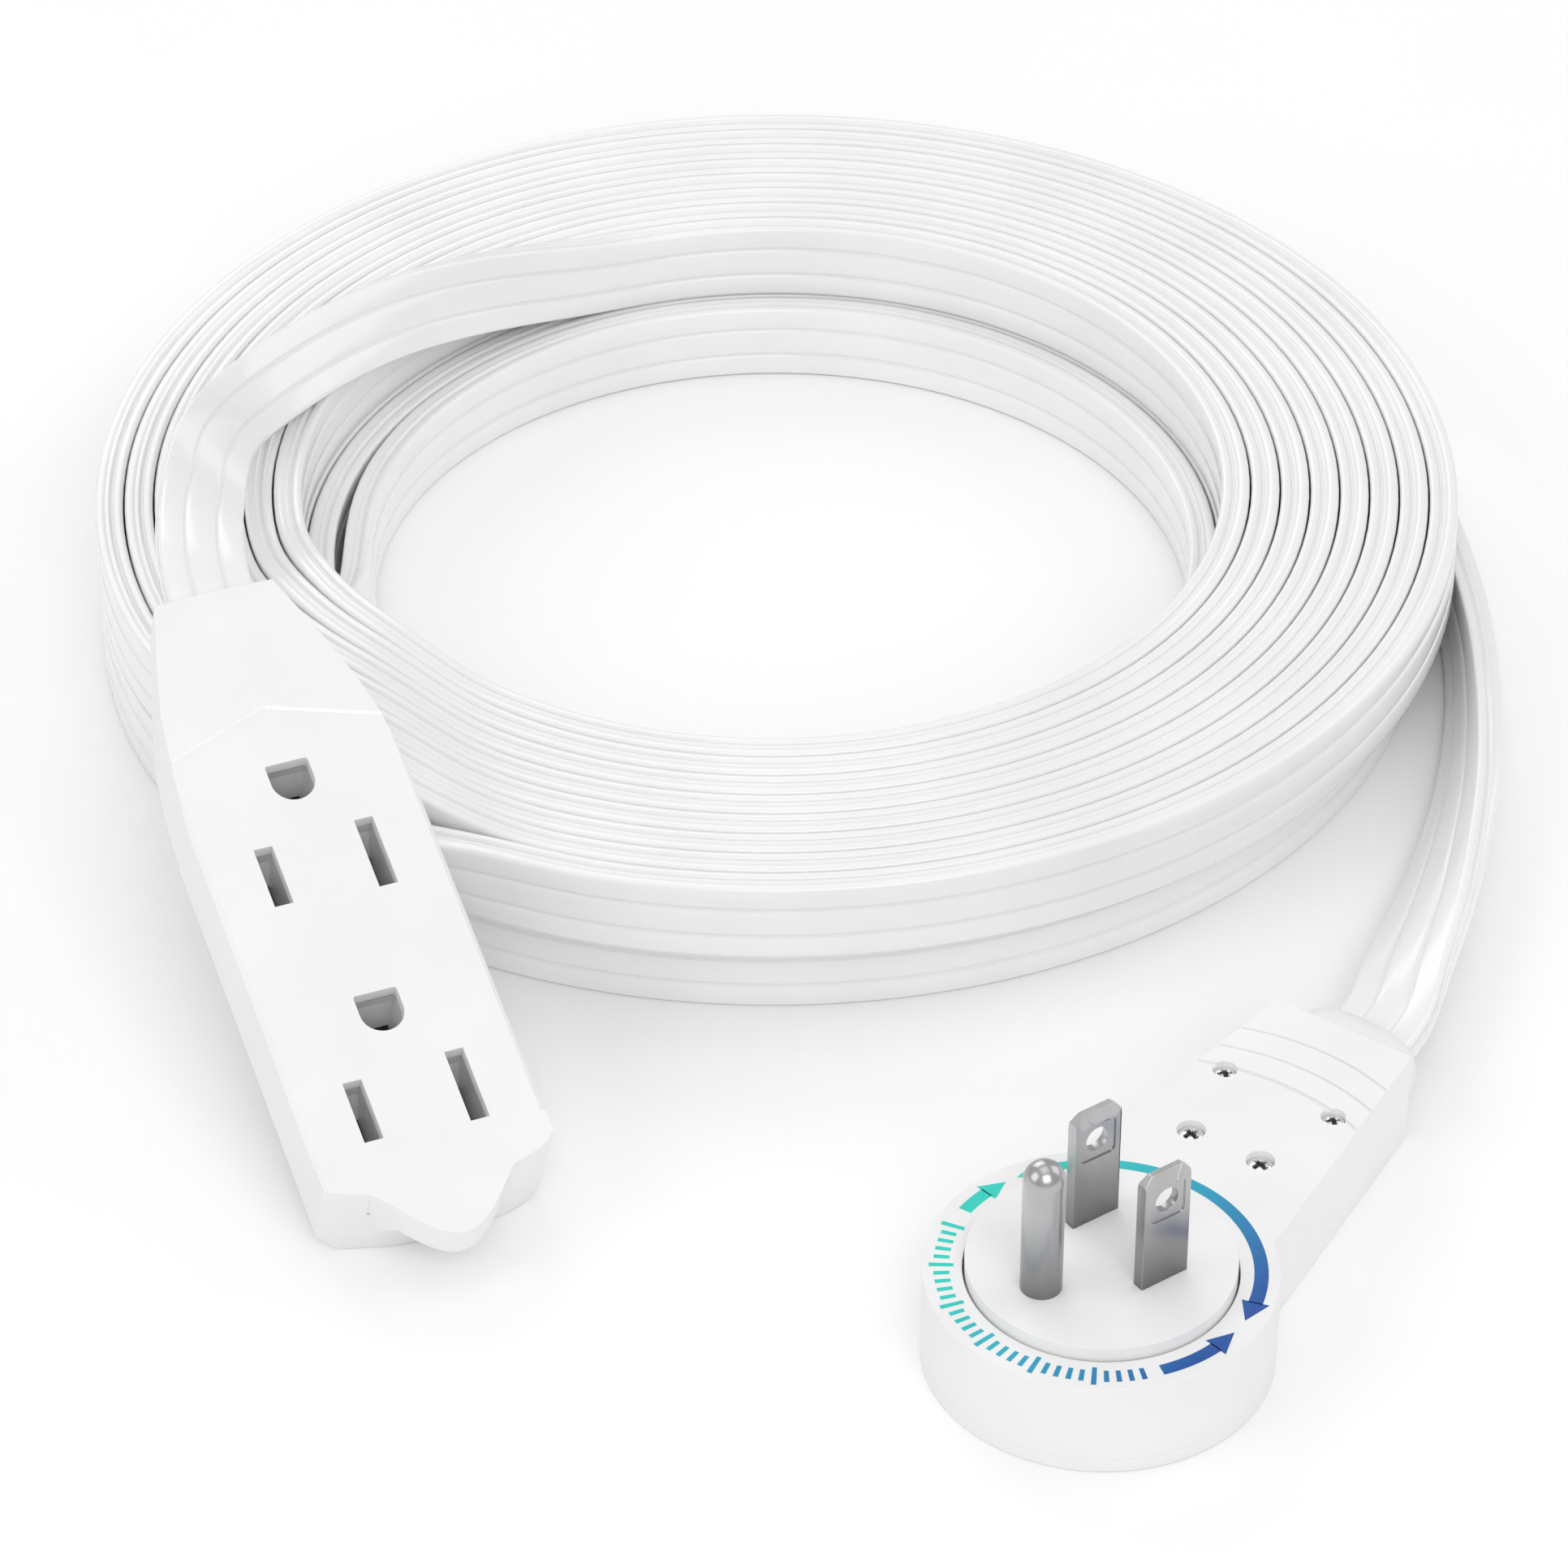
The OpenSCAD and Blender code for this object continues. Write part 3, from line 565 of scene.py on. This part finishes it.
# blades, pin and screws
DISC_AXES = NECK + rad(-19.5)
DISC_TOP, BLADE_LEN, BLADE_X, HEAD_TOP = 14.05, 15.9, 3.4, 12.4
TIP = DISC_TOP + BLADE_LEN
TAPER = 1.7  # height of the blades' tapered tip
HALF_SPACING = 6.35  # from the middle to each blade or slot


def to_disc(co):
    """A mesh point in metres, in the disc's own axes in mm."""
    x, y = co.x / MM - PX, co.y / MM - PY
    c, q = math.cos(DISC_AXES), math.sin(DISC_AXES)
    return x * c + y * q, -x * q + y * c, co.z / MM


def of_disc(x, y, z):
    """The inverse of to_disc."""
    c, q = math.cos(DISC_AXES), math.sin(DISC_AXES)
    return Vector((PX + x * c - y * q, PY + x * q + y * c, z)) * MM


def stamp(y0, y1, half, z0, z1, corner):
    """An upright slab with rounded corners across a blade, from y0 to y1 of its thickness."""
    ring = []
    for sx, cz, a0 in ((1, z1 - corner, 0), (-1, z1 - corner, 90),
                       (-1, z0 + corner, 180), (1, z0 + corner, 270)):
        for i in range(6):
            a = rad(a0 + 18 * i)
            ring.append((BLADE_X + sx * (half - corner) + corner * math.cos(a), cz + corner * math.sin(a)))
    n = len(ring)
    v = [of_disc(x, y0, z) for x, z in ring] + [of_disc(x, y1, z) for x, z in ring]
    f = [tuple(range(n))[::-1], tuple(range(n, 2 * n))]
    f += [(k, (k + 1) % n, n + (k + 1) % n, n + k) for k in range(n)]
    me = bpy.data.meshes.new("stamp")
    me.from_pydata([tuple(q) for q in v], [], f)
    outward(me)
    o = bpy.data.objects.new("stamp", me)
    scene.collection.objects.link(o)
    return o


def blade(node, name, side):
    """A blade with a tapered tip and a rectangle stamped round its hole, both sides."""
    mid = side * HALF_SPACING

    def taper(bm):
        bmesh.ops.bisect_plane(bm, geom=bm.verts[:] + bm.edges[:] + bm.faces[:],
                               plane_co=Vector((0, 0, TIP - TAPER)) * MM, plane_no=(0, 0, 1))
        for v in bm.verts:
            x, y, z = to_disc(v.co)
            t = (z - TIP + TAPER) / TAPER
            if t > 0:
                v.co = of_disc(x, mid + (y - mid) * (1 - 0.5 * t), z)

    o = from_cad(node, name, 0, body=DISC, reshape=taper)
    for k in (-1, 1):
        cut = stamp(mid + k * 0.57, mid + k * 1.6, 2.45, TIP - 6.9, TIP - 1.9, 0.7)
        m = o.modifiers.new("cut", "BOOLEAN")
        m.operation = "DIFFERENCE"
        m.solver = "EXACT"
        m.object = cut
        bake(o)
        bpy.data.objects.remove(cut)
    o.data.materials.clear()
    o.data.materials.append(NICKEL)
    # the rounded edges take the brighter rim metal: a painted highlight
    o.data.materials.append(RIM_HIGHLIGHT)
    return soften(o, 0.17, rim=1)


live = blade("plug_live_blade", "live_blade", -1)
neutral = blade("plug_neutral_blade", "neutral_blade", 1)
pin = from_cad("plug_ground_pin", "ground_pin", 0, body=DISC)
pin.data.polygons.foreach_set("use_smooth", [True] * len(pin.data.polygons))
pin.data.set_sharp_from_angle(angle=rad(40))


CROWN = 0.42  # depth of a screw head's crown below the plug's top


def screw_heads(name, node, spots, r, turn):
    """Domed heads with a cross recess, as height fields on rings, over plain shanks."""
    rings, seg = 26, 96
    verts, faces = [], []
    for x, y in spots:
        base = len(verts)
        for i in range(rings + 1):
            q = r * i / rings
            for k in range(seg):
                a = 2 * math.pi * k / seg
                u, w = q * math.cos(a), q * math.sin(a)
                z = HEAD_TOP - CROWN - 0.42 * (q / r) ** 2 - 0.12 * ease((q / r - 0.9) / 0.1)
                ca, sa = math.cos(turn), math.sin(turn)
                cu, cw = u * ca + w * sa, -u * sa + w * ca
                for g, h in ((cu, cw), (cw, cu)):
                    across = 1 - ease((abs(h) - 0.15 * r) / (0.07 * r))
                    arm = across * (1 - ease((abs(g) - 0.5 * r) / (0.22 * r)))
                    z = min(z, HEAD_TOP - CROWN - 0.62 * arm) if arm > 0.02 else z
                verts.append(in_plug(x + u, y + w, z))
        for k in range(seg):
            a = 2 * math.pi * k / seg
            verts.append(in_plug(x + r * math.cos(a), y + r * math.sin(a), HEAD_TOP - 1.5))
        for i in range(rings + 1):
            for k in range(seg):
                k2 = (k + 1) % seg
                n0, n1 = base + i * seg, base + (i + 1) * seg
                if i == 0:
                    faces.append((base + k, n1 + k, n1 + k2))
                else:
                    faces.append((n0 + k, n1 + k, n1 + k2, n0 + k2))
        faces.append(tuple(base + (rings + 1) * seg + k for k in range(seg))[::-1])
    o = make(name, [Vector(v) * MM for v in verts], faces, CHROME)
    bm = bmesh.new()
    bm.from_mesh(o.data)
    bmesh.ops.remove_doubles(bm, verts=bm.verts, dist=1e-7)
    bm.to_mesh(o.data)
    bm.free()
    o.data.set_sharp_from_angle(angle=rad(50))
    # the floor of each cross recess takes the near-black metal: painted shade
    o.data.materials.append(RECESS_SHADE)
    low = (HEAD_TOP - 0.85) * MM
    for x, y in spots:
        mid = (Vector(in_plug(x, y, 0)) * MM).to_2d()
        for p in o.data.polygons:
            if p.center.z < low and (p.center.to_2d() - mid).length < 0.76 * r * MM:
                p.material_index = 1
    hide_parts(node)
    return o


head_screws = screw_heads("head_screws", "plug_head_screws", ((26.1, 4.7), (26.1, -4.7)), 1.62,
                          NECK + rad(40))
neck_screws = screw_heads("neck_screws", "plug_neck_screws", ((37.6, 7.4), (37.6, -7.4)), 1.4,
                          NECK + rad(12))

# contact lips just inside the outlet slots
lips_v, lips_f = [], []


def lip(points, z_top, z_low, inner):
    """A thin sheet from an upper outline to a lower one, in block axes."""
    n, base = len(points), len(lips_v)
    for p, q in zip(points, inner):
        lips_v.append(Vector(in_block(*p, z_top)) * MM)
        lips_v.append(Vector(in_block(*q, z_low)) * MM)
    for k in range(n):
        a, b_ = base + 2 * k, base + 2 * ((k + 1) % n)
        lips_f.append((a, b_, b_ + 1, a + 1))


def oblong(cx, cy, hx, hy):
    """Outline of a straight slot."""
    return [(cx - hx, cy - hy), (cx + hx, cy - hy), (cx + hx, cy + hy), (cx - hx, cy + hy)]


def dee(cx, cy, r):
    """Outline of a ground hole, round on one side."""
    return [(cx - r, cy + r)] + [(cx + r * math.cos(rad(a)), cy + r * math.sin(rad(a)))
                                 for a in range(180, 361, 15)] + [(cx + r, cy + r)]


SLOT_ROWS, GROUND = (8.7, 41.2), 11.9  # the slot lines, and from one to its ground hole
LIP_TOP, LIP_LOW = 12.1, 8.2  # heights where the lips begin and end, in block axes
for row in SLOT_ROWS:
    for cx, hy in ((-HALF_SPACING, 4.0), (HALF_SPACING, 4.7)):
        lip(oblong(cx, row, 1.22, hy + 0.1), LIP_TOP, 11.0, oblong(cx, row, 1.05, hy - 0.2))
        lip(oblong(cx, row, 1.05, hy - 0.2), 11.0, LIP_LOW, oblong(cx, row - 0.9, 0.62, hy - 1.1))
    lip(dee(0, row + GROUND, 2.7), LIP_TOP, 11.2, dee(0, row + GROUND, 2.5))
    lip(dee(0, row + GROUND, 2.5), 11.2, LIP_LOW, dee(0, row + 11.2, 1.7))
lips = make("contact_lips", lips_v, lips_f, CONTACT, smooth=False)
th = lips.modifiers.new("sheet", "SOLIDIFY")
th.thickness = 0.12 * MM
th.offset = 1
bake(lips)

# printed marks round the disc
ring_v, ring_f = [], []
MARK_LOW, MARK_TOP = HEAD_TOP - 0.02, HEAD_TOP + 0.03


def flat_mark(outline):
    """One printed shape, a thin film on the ring; outline is (radius, angle) pairs, in either order."""
    n, base = len(outline), len(ring_v)
    pts = [(PX + r * math.cos(rad(a) + NECK), PY + r * math.sin(rad(a) + NECK)) for r, a in outline]
    if sum(p[0] * q[1] - p[1] * q[0] for p, q in zip(pts, pts[1:] + pts[:1])) < 0:
        pts.reverse()
    for z in (MARK_LOW, MARK_TOP):
        ring_v.extend((x * MM, y * MM, z * MM) for x, y in pts)
    ring_f.append(tuple(base + n + k for k in range(n)))
    ring_f.append(tuple(base + k for k in range(n))[::-1])
    ring_f.extend((base + k, base + (k + 1) % n, base + n + (k + 1) % n, base + n + k) for k in range(n))


def band(r, a0, a1, w0, w1):
    """An arc from angle a0 to a1, w0 wide at its start and w1 at its end."""
    n = max(2, int(abs(a1 - a0) / 2.5))
    edge = [(i / n, a0 + (a1 - a0) * i / n) for i in range(n + 1)]
    for (t0, b0), (t1, b1_) in zip(edge, edge[1:]):
        h0, h1 = (w0 + (w1 - w0) * t0) / 2, (w0 + (w1 - w0) * t1) / 2
        flat_mark([(r - h0, b0), (r + h0, b0), (r + h1, b1_), (r - h1, b1_)])


def head(r, base, tip, w):
    """An arrowhead, w wide at the angle base and pointed at the angle tip."""
    flat_mark([(r - w / 2, base), (r + w / 2, base), (r, tip)])


MR = 18.0  # radius of the ring of marks
for kind, *shape in ((band, 55.5, -74, 1.3, 1.65), (head, 56, 65.5, 2.7), (head, -73.5, -84, 3.2),
                     (band, 92.5, 79.5, 1.6, 1.6), (head, 80, 70.5, 3.0),
                     (band, -125, -101.5, 1.6, 1.6), (head, -102, -91.5, 3.1)):
    kind(MR, *shape)
TICKS, FIRST_TICK, TICK_STEP, TICK_HALF = 30, 102, 4.35, 0.9
for i in range(TICKS):
    a = FIRST_TICK + i * TICK_STEP
    h = 1.4 if i % 5 == 0 else 0.9
    flat_mark([(MR - h, a - TICK_HALF), (MR + h, a - TICK_HALF), (MR + h, a + TICK_HALF), (MR - h, a + TICK_HALF)])

# the ink: a gradient across the plug, in axes turned with its neck
INK, nt, b = nodes_of("printed_ink")
v = coords(nt)
turned = v.node
turned.inputs["Rotation"].default_value = (0, 0, -NECK)
ca, sa = math.cos(NECK), math.sin(NECK)
turned.inputs["Location"].default_value = (-(PX * ca + PY * sa) * MM, (PX * sa - PY * ca) * MM, 0)
sep = nt.nodes.new("ShaderNodeSeparateXYZ")
nt.links.new(v, sep.inputs["Vector"])
mr = add(nt, "ShaderNodeMapRange")
mr.inputs["From Min"].default_value = -0.0175
mr.inputs["From Max"].default_value = 0.0145
nt.links.new(sep.outputs["Y"], mr.inputs["Value"])
grain = add(nt, "ShaderNodeTexNoise", Scale=1800.0, Detail=2.0)
nt.links.new(v, grain.inputs["Vector"])
mixv = add(nt, "ShaderNodeMath", operation="MULTIPLY_ADD")
mixv.inputs[1].default_value = 0.05
nt.links.new(grain.outputs["Fac"], mixv.inputs[0])
nt.links.new(mr.outputs["Result"], mixv.inputs[2])
ramp = nt.nodes.new("ShaderNodeValToRGB")
el = ramp.color_ramp.elements
el[0].position, el[0].color = 0.03, (0.006, 0.075, 0.34, 1)
el[1].position, el[1].color = 0.98, (0.012, 0.60, 0.50, 1)
mid = el.new(0.5)
mid.color = (0.01, 0.32, 0.52, 1)
nt.links.new(mixv.outputs["Value"], ramp.inputs["Fac"])
nt.links.new(ramp.outputs["Color"], b.inputs["Base Color"])
b.inputs["Roughness"].default_value = 0.4
marks = bpy.data.objects.new("turn_marks", bpy.data.meshes.new("turn_marks"))
marks.data.from_pydata(ring_v, [], ring_f)
marks.data.materials.append(INK)
scene.collection.objects.link(marks)
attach(marks, ROOT)

# ---------------------------------------------------------------- floor and light
floor_m, nt, b = nodes_of("floor")
v = coords(nt)
tint(nt, b, v, (0.94, 0.94, 0.94), (0.955, 0.955, 0.955), 8)
b.inputs["Roughness"].default_value = 0.75
HALF, DROP = 3, -2e-5  # metres; the drop keeps the floor just under what stands on it
corners = [(-HALF, -HALF, DROP), (HALF, -HALF, DROP), (HALF, HALF, DROP), (-HALF, HALF, DROP)]
floor = plain("floor", corners, [(0, 1, 2, 3)], floor_m)

world = bpy.data.worlds.new("studio")
scene.world = world
world.use_nodes = True
bg = world.node_tree.nodes["Background"]
bg.inputs["Color"].default_value = (1, 1, 1, 1)
bg.inputs["Strength"].default_value = 0.59


def area(name, loc, power):
    """A square soft light, 1 m wide, that faces the object."""
    d = bpy.data.lights.new(name, "AREA")
    d.shape = "SQUARE"
    d.size = 1.0
    d.energy = power
    o = bpy.data.objects.new(name, d)
    scene.collection.objects.link(o)
    o.location = loc
    o.rotation_euler = (Vector(AIM) - Vector(loc)).to_track_quat("-Z", "Y").to_euler()


AIM = (0.07, 0.03, 0)
area("front", (-0.1, -1.15, 1.05), 7.2)
area("left", (-1.25, 0.03, 0.85), 3.8)
area("right", (1.35, 0.03, 0.85), 3.0)
area("back", (0.07, 1.3, 0.95), 4.2)
area("top", (0.07, 0.03, 1.5), 2.2)
scene.view_settings.view_transform = "Standard"
